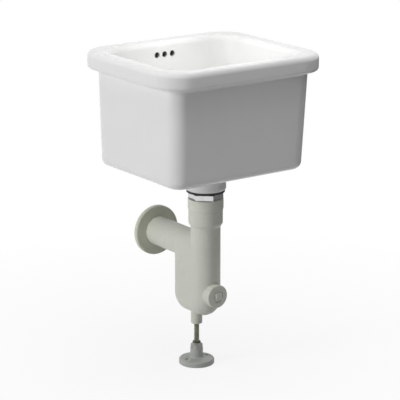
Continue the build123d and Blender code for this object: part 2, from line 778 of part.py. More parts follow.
# Round cover where the waste arm meets the wall, hollow behind, with a groove for its grip ring.
flange_bore_radius = pipe_radius + flange_fit
flange_hub_radius = flange_bore_radius + wall_flange_hub_wall
flange_front_y = wall_y - wall_flange_thickness
groove_y = wall_y - wall_flange_thickness / 2
with BuildPart() as wall_flange:
    with BuildSketch(Plane.YZ):
        with BuildLine():
            Polyline(
                (wall_y, arm_z + wall_flange_radius - wall_flange_wall),
                (wall_y, arm_z + wall_flange_radius),
                (flange_front_y, arm_z + wall_flange_radius),
                (flange_front_y - wall_flange_rise, arm_z + flange_hub_radius),
                (flange_front_y - wall_flange_rise, arm_z + flange_bore_radius),
                (wall_y, arm_z + flange_bore_radius),
                (wall_y, arm_z + flange_hub_radius),
                (flange_front_y + wall_flange_wall, arm_z + flange_hub_radius),
                (
                    flange_front_y + wall_flange_wall,
                    arm_z + wall_flange_radius - wall_flange_wall,
                ),
                close=True,
            )
        make_face()
        with Locations((groove_y, arm_z + flange_bore_radius)):
            Rectangle(
                2 * flange_ring_section + 2 * flange_fit,
                2 * flange_groove_depth,
                mode=Mode.SUBTRACT,
            )
    revolve(axis=arm_axis)
    outer_rims = wall_flange.edges().filter_by(GeomType.CIRCLE).sort_by(SortBy.RADIUS)[-2:]
    fillet(outer_rims.sort_by(Axis.Y)[0], wall_flange_rounding)
wall_flange.part.label = "wall_flange"
export_step(wall_flange.part, "parts/wall_flange.step")

# Rubber ring in the groove, which keeps the cover where it is pushed.
with BuildPart() as flange_ring:
    with BuildSketch(Plane.YZ):
        with Locations((groove_y, arm_z + pipe_radius + ring_touch + flange_ring_section)):
            Circle(flange_ring_section)
    revolve(axis=arm_axis)
flange_ring.part.label = "flange_ring"
export_step(flange_ring.part, "parts/flange_ring.step")

# Foot: round floor flange with a hub that the stud stands in, and two screw holes.
foot_top_z = foot_edge_height + foot_rise
with BuildPart() as foot_flange:
    with BuildSketch(Plane.XZ.offset(-foot_y)):
        with BuildLine():
            Polyline(
                (0, 0),
                (foot_radius - foot_base_chamfer, 0),
                (foot_radius, foot_base_chamfer),
                (foot_radius, foot_edge_height),
                (foot_hub_radius, foot_top_z),
                (foot_hub_radius, foot_hub_height),
                (stud_bore_radius, foot_hub_height),
                (stud_bore_radius, foot_floor_thickness),
                (0, foot_floor_thickness),
                close=True,
            )
        make_face()
    revolve(axis=foot_axis)
    circles = foot_flange.edges().filter_by(GeomType.CIRCLE)
    fillet(circles.filter_by_position(Axis.Z, foot_edge_height, foot_edge_height), foot_edge_rounding)
    circles = foot_flange.edges().filter_by(GeomType.CIRCLE)
    fillet(circles.filter_by_position(Axis.Z, foot_top_z, foot_top_z), foot_hub_rounding)
    fillet(foot_flange.edges().group_by(Axis.Z)[-1].sort_by(SortBy.RADIUS)[-1], foot_hub_edge)
    with Locations((0, foot_y, foot_top_z)):
        with GridLocations(foot_hole_spacing, 0, 2, 1):
            CounterSinkHole(foot_hole_radius, foot_sink_radius, foot_top_z)
foot_flange.part.label = "foot_flange"
export_step(foot_flange.part, "parts/foot_flange.step")

# Threaded stud from the foot up into the boss under the trap.
thread_turns = int((stud_top_z - foot_floor_thickness) / stud_pitch) - 1
thread_low_z = (foot_floor_thickness + stud_top_z - thread_turns * stud_pitch) / 2
stud_root_radius = stud_radius - stud_thread_depth
thread_profile = [(0, foot_floor_thickness), (stud_root_radius, foot_floor_thickness)]
for turn in range(thread_turns):
    thread_profile.append((stud_root_radius, thread_low_z + turn * stud_pitch))
    thread_profile.append((stud_radius, thread_low_z + (turn + 0.5) * stud_pitch))
thread_profile.append((stud_root_radius, thread_low_z + thread_turns * stud_pitch))
thread_profile.append((stud_root_radius, stud_top_z))
thread_profile.append((0, stud_top_z))
with BuildPart() as foot_stud:
    with BuildSketch(Plane.XZ.offset(-foot_y)):
        with BuildLine():
            Polyline(*thread_profile, close=True)
        make_face()
    revolve(axis=foot_axis)
foot_stud.part.label = "foot_stud"
export_step(foot_stud.part, "parts/foot_stud.step")

# Lock nut on the foot, hexagonal below and drawn in to a crown above.
foot_nut_corner_radius = foot_nut_flats / 2 / cos(radians(30))
with BuildPart() as foot_lock_nut:
    with BuildSketch(Plane.XY.offset(foot_hub_height)):
        with Locations((0, foot_y)):
            RegularPolygon(foot_nut_corner_radius, 6, rotation=foot_nut_turn)
    extrude(amount=foot_nut_height)
    with BuildSketch(Plane.XZ.offset(-foot_y)):
        with BuildLine():
            Polyline(
                (stud_bore_radius, foot_hub_height),
                (foot_nut_corner_radius - foot_nut_chamfer, foot_hub_height),
                (foot_nut_corner_radius, foot_hub_height + foot_nut_chamfer),
                (foot_nut_corner_radius, foot_hub_height + foot_nut_shoulder),
                (foot_nut_crown_radius, foot_nut_top_z),
                (stud_bore_radius, foot_nut_top_z),
                close=True,
            )
        make_face()
    revolve(axis=foot_axis, mode=Mode.INTERSECT)
foot_lock_nut.part.label = "foot_lock_nut"
export_step(foot_lock_nut.part, "parts/foot_lock_nut.step")

# Dark ring that rides on the stud above the lock nut.
with BuildPart() as foot_ring:
    with BuildSketch(Plane.XY.offset(foot_nut_top_z)):
        with Locations((0, foot_y)):
            Circle(foot_ring_radius)
            Circle(stud_bore_radius, mode=Mode.SUBTRACT)
    extrude(amount=foot_ring_height)
    fillet(foot_ring.edges().group_by(Axis.Z)[-1].sort_by(SortBy.RADIUS)[-1], foot_ring_rounding)
foot_ring.part.label = "foot_ring"
export_step(foot_ring.part, "parts/foot_ring.step")
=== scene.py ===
from math import radians

import bpy
import numpy as np
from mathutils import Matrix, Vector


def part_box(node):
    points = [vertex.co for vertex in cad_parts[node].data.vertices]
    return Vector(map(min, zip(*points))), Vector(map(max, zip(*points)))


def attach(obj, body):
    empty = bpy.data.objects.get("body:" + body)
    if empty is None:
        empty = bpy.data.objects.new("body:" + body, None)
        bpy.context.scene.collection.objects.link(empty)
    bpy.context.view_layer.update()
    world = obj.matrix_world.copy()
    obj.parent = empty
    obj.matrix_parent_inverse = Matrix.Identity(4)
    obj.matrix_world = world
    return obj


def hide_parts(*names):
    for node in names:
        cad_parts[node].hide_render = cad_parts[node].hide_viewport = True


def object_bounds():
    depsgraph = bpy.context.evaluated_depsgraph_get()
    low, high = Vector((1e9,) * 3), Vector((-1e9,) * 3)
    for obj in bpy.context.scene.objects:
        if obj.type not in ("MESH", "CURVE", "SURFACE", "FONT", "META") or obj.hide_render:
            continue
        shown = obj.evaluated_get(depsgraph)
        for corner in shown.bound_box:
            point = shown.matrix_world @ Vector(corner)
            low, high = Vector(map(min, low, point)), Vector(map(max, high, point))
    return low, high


bl_info = {
    "name": "Laundry sink",
    "version": (1, 0, 0),
    "blender": (4, 5, 0),
    "location": "View3D > Sidebar > Laundry sink",
    "description": "Finishes, threaded stud and studio for a wall-hung laundry sink",
    "category": "Object",
}

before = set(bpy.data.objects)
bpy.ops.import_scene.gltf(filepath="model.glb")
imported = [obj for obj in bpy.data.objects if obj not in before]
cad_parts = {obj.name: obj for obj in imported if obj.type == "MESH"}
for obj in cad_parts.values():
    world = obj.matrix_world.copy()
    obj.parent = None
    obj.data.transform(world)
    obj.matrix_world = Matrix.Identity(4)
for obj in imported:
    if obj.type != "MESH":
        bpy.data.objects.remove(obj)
cad_low, cad_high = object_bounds()
stud_low, stud_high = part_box("foot_stud")

BASIN = ("basin",)
CASTINGS = ("inlet_union_nut", "trap_body", "cleanout_plug")
COVER = ("wall_flange",)
FOOT = ("foot_flange",)
BRIGHT = ("drain_flange", "stopper_knob", "drain_lock_nut")
BRUSHED = ("drain_strainer", "strainer_screw", "friction_washer", "inlet_slip_ring")
GALVANISED = ("hanger_left", "hanger_right")
PLATED_NUT = ("foot_lock_nut",)
BLACK_RUBBER = ("outlet_gasket", "cleanout_gasket", "hanger_pads", "flange_ring")
STUD_RING = ("foot_ring",)
STOPPER = ("rubber_stopper",)
PALE_RUBBER = ("drain_flange_seal", "inlet_packing")

# Each lamp: its name, the setting that holds its power, its width and height, where it stands
# and the point that it shines at
LAMPS = (
    ("side_lamp", "side_power", 0.8, 2.6, (-3.3, 0.5, 1.33), (0, 0, 1.33)),
    ("top_lamp", "top_power", 1.8, 1.8, (-0.3, -0.4, 3.0), (0, 0, 0.7)),
    ("front_lamp", "front_power", 2.0, 2.0, (0, -1.8, 2.6), (0, 0, 0.7)),
    ("right_lamp", "right_power", 2.0, 2.0, (1.8, 0, 2.6), (0, 0, 0.7)),
    ("bowl_lamp", "bowl_power", 0.16, 0.16, (0, -0.01, 0.87), (0, -0.01, 0)),
)
SENSOR_WIDTH = 36.0
CLIP_START, CLIP_END = 0.1, 60.0

CARD_CORNER = (0.95, -1.1, 0.001)
CARD_WIDTH, CARD_HEIGHT = 1.6, 0.75

# Round the object the floor is a little short of white, so that its shadow shows, and it is
# pure white from the outer radius on
SHADOW_RADIUS, WHITE_RADIUS = 0.1, 1.2
WHITE_BY_THE_OBJECT = 0.86
WHITE = (1, 1, 1, 1)
AMBIENT_COLOUR = (0.97, 0.99, 1.0, 1)

THREAD_COLUMNS = 36
THREAD_ROWS_PER_TURN = 10
CREST_FLATTENING = 1.25
ROOT_FLAT = 0.08
RUN_OUT_IN_CHAMFER = 0.4
CHAMFER_SLOPE = 0.7
SHARP_EDGE = radians(30)

PANEL_CELLS = 8
DUCT_EDGE = 0.005


# Node building


def new_finish(name):
    """Makes a node material with one shader joined to its output."""
    finish = bpy.data.materials.new(name)
    finish.use_nodes = True
    tree = finish.node_tree
    tree.nodes.clear()
    output = tree.nodes.new("ShaderNodeOutputMaterial")
    shader = tree.nodes.new("ShaderNodeBsdfPrincipled")
    tree.links.new(shader.outputs["BSDF"], output.inputs["Surface"])
    return finish, tree, shader


def place(tree, stretch=(1, 1, 1)):
    """The object's own coordinates in metres, stretched along each axis."""
    coordinates = tree.nodes.new("ShaderNodeTexCoord")
    mapping = tree.nodes.new("ShaderNodeMapping")
    mapping.inputs["Scale"].default_value = stretch
    tree.links.new(coordinates.outputs["Object"], mapping.inputs["Vector"])
    return mapping.outputs["Vector"]


def cloud(tree, per_metre, detail=3.0, stretch=(1, 1, 1)):
    """Fractal noise from 0 to 1 with that many lumps in a metre."""
    noise = tree.nodes.new("ShaderNodeTexNoise")
    noise.inputs["Scale"].default_value = per_metre
    noise.inputs["Detail"].default_value = detail
    tree.links.new(place(tree, stretch), noise.inputs["Vector"])
    return noise.outputs["Fac"]


def specks(tree, per_metre, size):
    """1 inside scattered round specks and 0 between them; size is a share of their spacing."""
    cells = tree.nodes.new("ShaderNodeTexVoronoi")
    cells.inputs["Scale"].default_value = per_metre
    tree.links.new(place(tree), cells.inputs["Vector"])
    return spread(tree, cells.outputs["Distance"], size * 0.6, size, 1, 0)


def spread(tree, value, low, high, to_low, to_high):
    """Takes value from the band low to high onto the band to_low to to_high, clamped."""
    remap = tree.nodes.new("ShaderNodeMapRange")
    remap.inputs["From Min"].default_value = low
    remap.inputs["From Max"].default_value = high
    remap.inputs["To Min"].default_value = to_low
    remap.inputs["To Max"].default_value = to_high
    tree.links.new(value, remap.inputs["Value"])
    return remap.outputs["Result"]


def tint(tree, share, first, second):
    """A colour between two, where either may be a colour or another node's output."""
    mix = tree.nodes.new("ShaderNodeMix")
    mix.data_type = "RGBA"
    tree.links.new(share, mix.inputs["Factor"])
    for socket, colour in ((mix.inputs["A"], first), (mix.inputs["B"], second)):
        set_or_link(tree, socket, colour)
    return mix.outputs["Result"]


def set_or_link(tree, socket, value):
    """Joins a node's output to the socket, or writes a fixed colour on it."""
    if isinstance(value, bpy.types.NodeSocket):
        tree.links.new(value, socket)
    else:
        socket.default_value = (*value[:3], 1.0)


def shade(colour, share):
    """The colour made lighter or darker by that share of itself."""
    return tuple(min(1.0, part * share) for part in colour[:3])


def relief(tree, shader, layers):
    """Raises the surface by each layer's value times its height in metres, strength 0 to 1."""
    normal = None
    for value, height, strength in layers:
        bump = tree.nodes.new("ShaderNodeBump")
        bump.inputs["Distance"].default_value = height
        bump.inputs["Strength"].default_value = strength
        tree.links.new(value, bump.inputs["Height"])
        if normal is not None:
            tree.links.new(normal, bump.inputs["Normal"])
        normal = bump.outputs["Normal"]
    tree.links.new(normal, shader.inputs["Normal"])


def lay_on(finish, nodes):
    """Puts the finish on the named CAD nodes."""
    for name in nodes:
        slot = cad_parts[name].material_slots[0]
        slot.link = "OBJECT"
        slot.material = finish


# Finishes


def inside_duct(tree, settings):
    """1 inside the overflow duct and its holes, and 0 on the rest of the basin."""
    apart = tree.nodes.new("ShaderNodeSeparateXYZ")
    tree.links.new(place(tree), apart.inputs[0])
    sideways = tree.nodes.new("ShaderNodeMath")
    sideways.operation = "ABSOLUTE"
    tree.links.new(apart.outputs["X"], sideways.inputs[0])
    limits = (
        (sideways.outputs["Value"], settings.duct_half_width, 1, 0),
        (apart.outputs["Y"], settings.duct_front - DUCT_EDGE, 0, 1),
        (apart.outputs["Y"], settings.duct_back, 1, 0),
        (apart.outputs["Z"], cad_high.z - settings.duct_drop, 1, 0),
    )
    share = None
    for value, edge, before, after in limits:
        part = spread(tree, value, edge, edge + DUCT_EDGE, before, after)
        if share is None:
            share = part
            continue
        both = tree.nodes.new("ShaderNodeMath")
        both.operation = "MULTIPLY"
        tree.links.new(share, both.inputs[0])
        tree.links.new(part, both.inputs[1])
        share = both.outputs["Value"]
    return share


def fired_glaze(settings):
    """White glaze: slow shifts of tone, fine pinholes and the faint waviness of a fired surface.

    The inside of the overflow duct is painted dark: painted shade for the dark duct behind the
    overflow holes.
    """
    finish, tree, shader = new_finish("fired_glaze")
    colour = settings.colour
    tone = spread(tree, cloud(tree, 9, 2), 0.35, 0.65, 0, 1)
    body = tint(tree, tone, shade(colour, 0.985), colour)
    # Painted shade: dark colour with darker noise inside the overflow duct, where shade falls
    painted_duct_shade = tint(tree, cloud(tree, 180, 4), settings.duct_shade_colour, shade(settings.duct_shade_colour, 0.6))
    body = tint(tree, inside_duct(tree, settings), body, painted_duct_shade)
    pits = specks(tree, 120, 0.045)
    tree.links.new(
        tint(tree, pits, body, shade(colour, 0.62)), shader.inputs["Base Color"]
    )
    gloss = spread(
        tree, cloud(tree, 24, 4), 0.3, 0.7, settings.roughness, settings.roughness * 1.8
    )
    tree.links.new(gloss, shader.inputs["Roughness"])
    shader.inputs["Coat Weight"].default_value = 0.3
    shader.inputs["Coat Roughness"].default_value = 0.04
    relief(
        tree,
        shader,
        (
            (cloud(tree, 13, 1), settings.wave_height, 0.5),
            (cloud(tree, 75, 2), settings.wave_height * 0.12, 0.6),
            (pits, -0.0001, 0.7),
        ),
    )
    return finish


def casting_paint(settings, colour, name):
    """Satin paint on cast iron: mottled tone, small chips, slow waves and sand grain."""
    finish, tree, shader = new_finish(name)
    tone = spread(tree, cloud(tree, 14, 3), 0.3, 0.7, 0, 1)
    mottle = spread(tree, cloud(tree, 160, 4), 0.35, 0.65, 0, 1)
    slow = tint(tree, tone, shade(colour, 0.97), shade(colour, 1.03))
    coat = tint(tree, mottle, shade(colour, 0.965), slow)
    chips = specks(tree, 55, 0.035)
    coat = tint(tree, chips, coat, shade(colour, 0.55))
    tree.links.new(coat, shader.inputs["Base Color"])
    gloss = spread(
        tree, cloud(tree, 45, 4), 0.3, 0.7, settings.roughness, settings.roughness + 0.14
    )
    tree.links.new(gloss, shader.inputs["Roughness"])
    shader.inputs["Specular IOR Level"].default_value = 0.6
    relief(
        tree,
        shader,
        (
            (cloud(tree, 40, 2), settings.grain_height * 1.5, 0.5),
            (cloud(tree, 320, 5), settings.grain_height, 0.45),
            (cloud(tree, 1100, 3), settings.grain_height * 0.3, 0.35),
            (chips, -0.0002, 0.6),
        ),
    )
    return finish


def chrome_plate(settings):
    """Bright plate with fingerprint haze and the faint lay of polishing."""
    finish, tree, shader = new_finish("chrome_plate")
    haze = spread(tree, cloud(tree, 60, 4), 0.35, 0.7, 0, 1)
    tree.links.new(
        tint(tree, haze, settings.chrome, shade(settings.chrome, 0.9)), shader.inputs["Base Color"]
    )
    tree.links.new(
        spread(tree, cloud(tree, 85, 5), 0.3, 0.75, 0.12, 0.26), shader.inputs["Roughness"]
    )
    shader.inputs["Metallic"].default_value = 1.0
    relief(
        tree,
        shader,
        (
            (cloud(tree, 420, 2, (1, 1, 9)), 0.00002, 0.4),
            (cloud(tree, 45, 1), 0.00012, 0.4),
        ),
    )
    return finish


def worked_metal(name, colour, rough, stretch, spangle, height, bare=0.9):
    """Plated or brushed metal: crystal spangle in its tone, and scratches along one axis.

    rough is its mean roughness, stretch the scale of the scratches along each axis, spangle the
    crystals in a metre and height the depth of the scratches. bare is the share of the surface
    that shines as metal; the rest is dull oxide.
    """
    finish, tree, shader = new_finish(name)
    crystals = tree.nodes.new("ShaderNodeTexVoronoi")
    crystals.inputs["Scale"].default_value = spangle
    tree.links.new(place(tree), crystals.inputs["Vector"])
    grey = tree.nodes.new("ShaderNodeRGBToBW")
    tree.links.new(crystals.outputs["Color"], grey.inputs["Color"])
    tone = spread(tree, grey.outputs["Val"], 0.1, 0.9, 0, 1)
    plate = tint(tree, tone, shade(colour, 0.86), shade(colour, 1.08))
    dull = spread(tree, cloud(tree, 70, 5), 0.45, 0.75, 0, 1)
    tree.links.new(tint(tree, dull, plate, shade(colour, 0.7)), shader.inputs["Base Color"])
    scratches = cloud(tree, 900, 3, stretch)
    tree.links.new(
        spread(tree, scratches, 0.3, 0.7, rough * 0.75, rough * 1.3), shader.inputs["Roughness"]
    )
    shader.inputs["Metallic"].default_value = bare
    relief(
        tree,
        shader,
        ((scratches, height, 0.5), (cloud(tree, 130, 3), height * 2, 0.4)),
    )
    return finish


def moulded_rubber(name, colour, rough):
    """Matt rubber with a dusty bloom and a fine moulded grain."""
    finish, tree, shader = new_finish(name)
    bloom = spread(tree, cloud(tree, 55, 5), 0.45, 0.75, 0, 1)
    tree.links.new(
        tint(tree, bloom, colour, shade(colour, 1.7)), shader.inputs["Base Color"]
    )
    tree.links.new(
        spread(tree, cloud(tree, 200, 3), 0.3, 0.7, rough, rough + 0.18), shader.inputs["Roughness"]
    )
    shader.inputs["Specular IOR Level"].default_value = 0.35
    relief(
        tree,
        shader,
        ((cloud(tree, 1500, 2), 0.00006, 0.5), (cloud(tree, 90, 2), 0.0002, 0.4)),
    )
    return finish


# Surfaces


def ringed_surface(name, rings):
    """Skins an array of rings, rows by columns by 3, going up, each ring closed on itself.

    The first and the last ring are drawn in to their mean point, so that the ends are shut.
    """
    rows, columns, _ = rings.shape
    middle = np.stack((rings[0].mean(0), rings[-1].mean(0)))
    points = np.concatenate((rings.reshape(-1, 3), middle))
    row, column = np.meshgrid(np.arange(rows - 1), np.arange(columns), indexing="ij")
    following = (column + 1) % columns
    corners = (
        row * columns + column,
        row * columns + following,
        (row + 1) * columns + following,
        (row + 1) * columns + column,
    )
    quads = np.stack(corners, axis=-1).reshape(-1, 4)
    around = np.arange(columns)
    beside = (around + 1) % columns
    foot = np.full(columns, rows * columns)
    top = (rows - 1) * columns
    ends = np.concatenate(
        (
            np.stack((beside, around, foot), axis=-1),
            np.stack((top + around, top + beside, foot + 1), axis=-1),
        )
    )
    mesh = bpy.data.meshes.new(name)
    mesh.from_pydata(points.tolist(), [], quads.tolist() + ends.tolist())
    mesh.polygons.foreach_set("use_smooth", np.ones(len(mesh.polygons), dtype=bool))
    mesh.update()
    piece = bpy.data.objects.new(name, mesh)
    bpy.context.scene.collection.objects.link(piece)
    return piece


def stud_rings(settings, low, high):
    """Rings of a right-hand threaded rod, radius as a function of angle and height.

    The crest climbs one pitch in each turn. Between crests the radius follows a triangle wave with
    flattened tops, and it falls away to the root over the last pitch and the chamfer at each end.
    """
    turns = (high.z - low.z) / settings.pitch
    rows = int(turns * THREAD_ROWS_PER_TURN)
    angle = np.linspace(0, 2 * np.pi, THREAD_COLUMNS, endpoint=False)[None, :]
    height = np.linspace(low.z, high.z, rows)[:, None]
    phase = (height - low.z) / settings.pitch - angle / (2 * np.pi)
    wave = 1 - np.abs(2 * (phase - np.floor(phase)) - 1)
    wave = np.clip(CREST_FLATTENING * wave - ROOT_FLAT, 0, 1)
    from_end = np.minimum(height - low.z, high.z - height)
    fade = np.clip((from_end - settings.chamfer * RUN_OUT_IN_CHAMFER) / settings.pitch, 0, 1)
    root = settings.crest_radius - settings.thread_depth
    radius = root + settings.thread_depth * wave * fade
    radius = radius - np.clip(settings.chamfer - from_end, 0, None) * CHAMFER_SLOPE
    centre = (low + high) / 2
    return np.stack(
        np.broadcast_arrays(
            centre.x + radius * np.cos(angle), centre.y + radius * np.sin(angle), height
        ),
        axis=-1,
    )


def panel(name, corner, across, up):
    """A flat panel: corner + u * across + v * up, for u and v from 0 to 1."""
    row = PANEL_CELLS + 1
    along = np.linspace(0, 1, row)
    u, v = np.meshgrid(along, along, indexing="ij")
    points = np.array(corner) + u[..., None] * np.array(across) + v[..., None] * np.array(up)
    cell = np.arange(PANEL_CELLS)[:, None] * row + np.arange(PANEL_CELLS)[None, :]
    quads = np.stack((cell, cell + row, cell + row + 1, cell + 1), axis=-1).reshape(-1, 4)
    mesh = bpy.data.meshes.new(name)
    mesh.from_pydata(points.reshape(-1, 3).tolist(), [], quads.tolist())
    mesh.update()
    piece = bpy.data.objects.new(name, mesh)
    bpy.context.scene.collection.objects.link(piece)
    return piece


# Sizes and colours


class GlazeSettings(bpy.types.PropertyGroup):
    """Glaze of the basin."""

    colour: bpy.props.FloatVectorProperty(
        name="Glaze colour",
        description="Colour of the fired glaze",
        default=(0.88, 0.88, 0.87),
        subtype="COLOR",
        min=0,
        max=1,
    )
    roughness: bpy.props.FloatProperty(
        name="Glaze roughness",
        description="Roughness of the clearest parts of the glaze",
        default=0.09,
        subtype="FACTOR",
        min=0,
        max=1,
    )
    # The duct settings give the colour and the box of the painted shade inside the overflow duct
    duct_shade_colour: bpy.props.FloatVectorProperty(
        name="Duct colour",
        description="Colour of the shade_painted inside of the overflow duct",
        default=(0.24, 0.23, 0.21),
        subtype="COLOR",
        min=0,
        max=1,
    )
    duct_front: bpy.props.FloatProperty(
        name="Duct front",
        description="Y from which the overflow holes are shade_painted",
        default=0.161,
        unit="LENGTH",
    )
    duct_back: bpy.props.FloatProperty(
        name="Duct back",
        description="Y up to which the duct is shade_painted",
        default=0.183,
        unit="LENGTH",
    )
    duct_half_width: bpy.props.FloatProperty(
        name="Duct half width",
        description="Distance from the middle to each side of the shade_painted duct",
        default=0.039,
        unit="LENGTH",
        min=0,
    )
    duct_drop: bpy.props.FloatProperty(
        name="Duct drop",
        description="Distance from the top of the rim down to the shade_painted duct",
        default=0.02,
        unit="LENGTH",
        min=0,
    )
    wave_height: bpy.props.FloatProperty(
        name="Wave height",
        description="Height of the slow waves that firing leaves in the surface",
        default=0.0012,
        unit="LENGTH",
        min=0,
    )


class PaintSettings(bpy.types.PropertyGroup):
    """Paint of the castings."""

    colour: bpy.props.FloatVectorProperty(
        name="Paint colour",
        description="Colour of the paint on the trap and its caps",
        default=(0.75, 0.755, 0.67),
        subtype="COLOR",
        min=0,
        max=1,
    )
    # Painted light: the wall cover's paint is lighter than the trap's, to lift a face that the
    # lamps leave dim
    cover_colour_with_painted_light: bpy.props.FloatVectorProperty(
        name="Wall cover colour",
        description="Colour of the paint on the round wall cover",
        default=(0.78, 0.79, 0.66),
        subtype="COLOR",
        min=0,
        max=1,
    )
    # The foot's paint is darker and greyer than the trap's paint
    foot_colour: bpy.props.FloatVectorProperty(
        name="Foot colour",
        description="Colour of the paint on the foot, darker and greyer than the trap's paint",
        default=(0.50, 0.52, 0.485),
        subtype="COLOR",
        min=0,
        max=1,
    )
    roughness: bpy.props.FloatProperty(
        name="Paint roughness",
        description="Roughness of the smoothest parts of the paint",
        default=0.36,
        subtype="FACTOR",
        min=0,
        max=1,
    )
    grain_height: bpy.props.FloatProperty(
        name="Casting grain",
        description="Height of the sand grain that shows through the paint",
        default=0.0003,
        unit="LENGTH",
        min=0,
    )


class MetalSettings(bpy.types.PropertyGroup):
    """Bare and plated metal."""

    chrome: bpy.props.FloatVectorProperty(
        name="Chrome",
        description="Colour of the bright plated fittings",
        default=(0.66, 0.66, 0.67),
        subtype="COLOR",
        min=0,
        max=1,
    )
    stainless: bpy.props.FloatVectorProperty(
        name="Stainless steel",
        description="Colour of the strainer, its screw and the washers",
        default=(0.62, 0.62, 0.61),
        subtype="COLOR",
        min=0,
        max=1,
    )
    galvanised: bpy.props.FloatVectorProperty(
        name="Galvanised steel",
        description="Colour of the wall hangers",
        default=(0.55, 0.56, 0.56),
        subtype="COLOR",
        min=0,
        max=1,
    )
    stud: bpy.props.FloatVectorProperty(
        name="Stud plate",
        description="Colour of the dark plate on the threaded stud",
        default=(0.31, 0.32, 0.25),
        subtype="COLOR",
        min=0,
        max=1,
    )
    lock_nut: bpy.props.FloatVectorProperty(
        name="Lock nut plate",
        description="Colour of the pale plate on the lock nut of the foot",
        default=(0.46, 0.47, 0.435),
        subtype="COLOR",
        min=0,
        max=1,
    )


class RubberSettings(bpy.types.PropertyGroup):
    """Rubber parts."""

    black: bpy.props.FloatVectorProperty(
        name="Black rubber",
        description="Colour of the gaskets and pads",
        default=(0.03, 0.03, 0.03),
        subtype="COLOR",
        min=0,
        max=1,
    )
    ring: bpy.props.FloatVectorProperty(
        name="Ring rubber",
        description="Colour of the dusty ring above the lock nut of the foot",
        default=(0.085, 0.09, 0.07),
        subtype="COLOR",
        min=0,
        max=1,
    )
    stopper: bpy.props.FloatVectorProperty(
        name="Stopper rubber",
        description="Colour of the stopper",
        default=(0.09, 0.09, 0.09),
        subtype="COLOR",
        min=0,
        max=1,
    )
    pale: bpy.props.FloatVectorProperty(
        name="Pale rubber",
        description="Colour of the seal and the packing",
        default=(0.55, 0.53, 0.48),
        subtype="COLOR",
        min=0,
        max=1,
    )


class StudSettings(bpy.types.PropertyGroup):
    """Thread of the stud."""

    pitch: bpy.props.FloatProperty(
        name="Pitch",
        description="Rise of the thread in one turn",
        default=0.002117,
        unit="LENGTH",
        precision=5,
        min=0.0005,
    )
    crest_radius: bpy.props.FloatProperty(
        name="Crest radius",
        description="Radius over the crests of the thread",
        default=(stud_high.x - stud_low.x) / 2,
        unit="LENGTH",
        precision=5,
        min=0.001,
    )
    thread_depth: bpy.props.FloatProperty(
        name="Thread depth",
        description="Height from the root of the thread to its crest",
        default=0.00115,
        unit="LENGTH",
        precision=5,
        min=0,
    )
    chamfer: bpy.props.FloatProperty(
        name="End chamfer",
        description="Length of the chamfer at each end of the stud",
        default=0.0012,
        unit="LENGTH",
        precision=5,
        min=0,
    )


class StudioSettings(bpy.types.PropertyGroup):
    """Floor, lamps and camera."""

    floor_size: bpy.props.FloatProperty(
        name="Floor reach",
        description="Distance from the middle of the floor to each of its sides",
        default=8.0,
        unit="LENGTH",
        min=1,
    )
    floor_colour: bpy.props.FloatVectorProperty(
        name="Floor colour",
        description="Colour with which the floor throws light back on the object",
        default=(0.60, 0.61, 0.62),
        subtype="COLOR",
        min=0,
        max=1,
    )
    side_power: bpy.props.FloatProperty(
        name="Side lamp",
        description="Power of the tall lamp on the left",
        default=66.0,
        unit="POWER",
        min=0,
    )
    top_power: bpy.props.FloatProperty(
        name="Top lamp",
        description="Power of the lamp overhead",
        default=27.0,
        unit="POWER",
        min=0,
    )
    front_power: bpy.props.FloatProperty(
        name="Front lamp",
        description="Power of the lamp overhead in front",
        default=12.0,
        unit="POWER",
        min=0,
    )
    right_power: bpy.props.FloatProperty(
        name="Right lamp",
        description="Power of the lamp overhead on the right",
        default=15.0,
        unit="POWER",
        min=0,
    )
    bowl_power: bpy.props.FloatProperty(
        name="Bowl lamp",
        description="Power of the small lamp over the bowl",
        default=0.3,
        unit="POWER",
        min=0,
    )
    ambient: bpy.props.FloatProperty(
        name="Ambient light",
        description="Strength of the even light from all round",
        default=0.02,
        min=0,
    )
    camera_place: bpy.props.FloatVectorProperty(
        name="Camera place",
        description="Where the camera stands",
        default=(-2.61049, -3.61122, 1.64019),
        subtype="TRANSLATION",
        unit="LENGTH",
    )
    camera_turn: bpy.props.FloatProperty(
        name="Camera turn",
        description="Angle of the camera round the object",
        default=radians(35.78),
        subtype="ANGLE",
    )
    camera_dip: bpy.props.FloatProperty(
        name="Camera dip",
        description="Angle by which the camera looks down",
        default=radians(15.36),
        subtype="ANGLE",
    )
    lens: bpy.props.FloatProperty(
        name="Lens",
        description="Focal length of the camera in millimetres",
        default=175.23,
        unit="CAMERA",
        min=10,
    )


# Operators


class SINK_OT_glazed_basin(bpy.types.Operator):
    """Gives the basin its fired white glaze"""

    bl_idname = "laundry_sink.glazed_basin"
    bl_label = "Glazed basin"

    def execute(self, context):
        lay_on(fired_glaze(context.scene.sink_glaze), BASIN)
        return {"FINISHED"}


class SINK_OT_painted_castings(bpy.types.Operator):
    """Gives the trap, its caps, the wall cover and the foot their satin paint"""

    bl_idname = "laundry_sink.painted_castings"
    bl_label = "Painted castings"

    def execute(self, context):
        paint = context.scene.sink_paint
        lay_on(casting_paint(paint, paint.colour, "casting_paint"), CASTINGS)
        # The wall cover gets a lighter copy of the paint: painted light
        lay_on(casting_paint(paint, paint.cover_colour_with_painted_light, "cover_paint"), COVER)
        lay_on(casting_paint(paint, paint.foot_colour, "foot_paint"), FOOT)
        return {"FINISHED"}


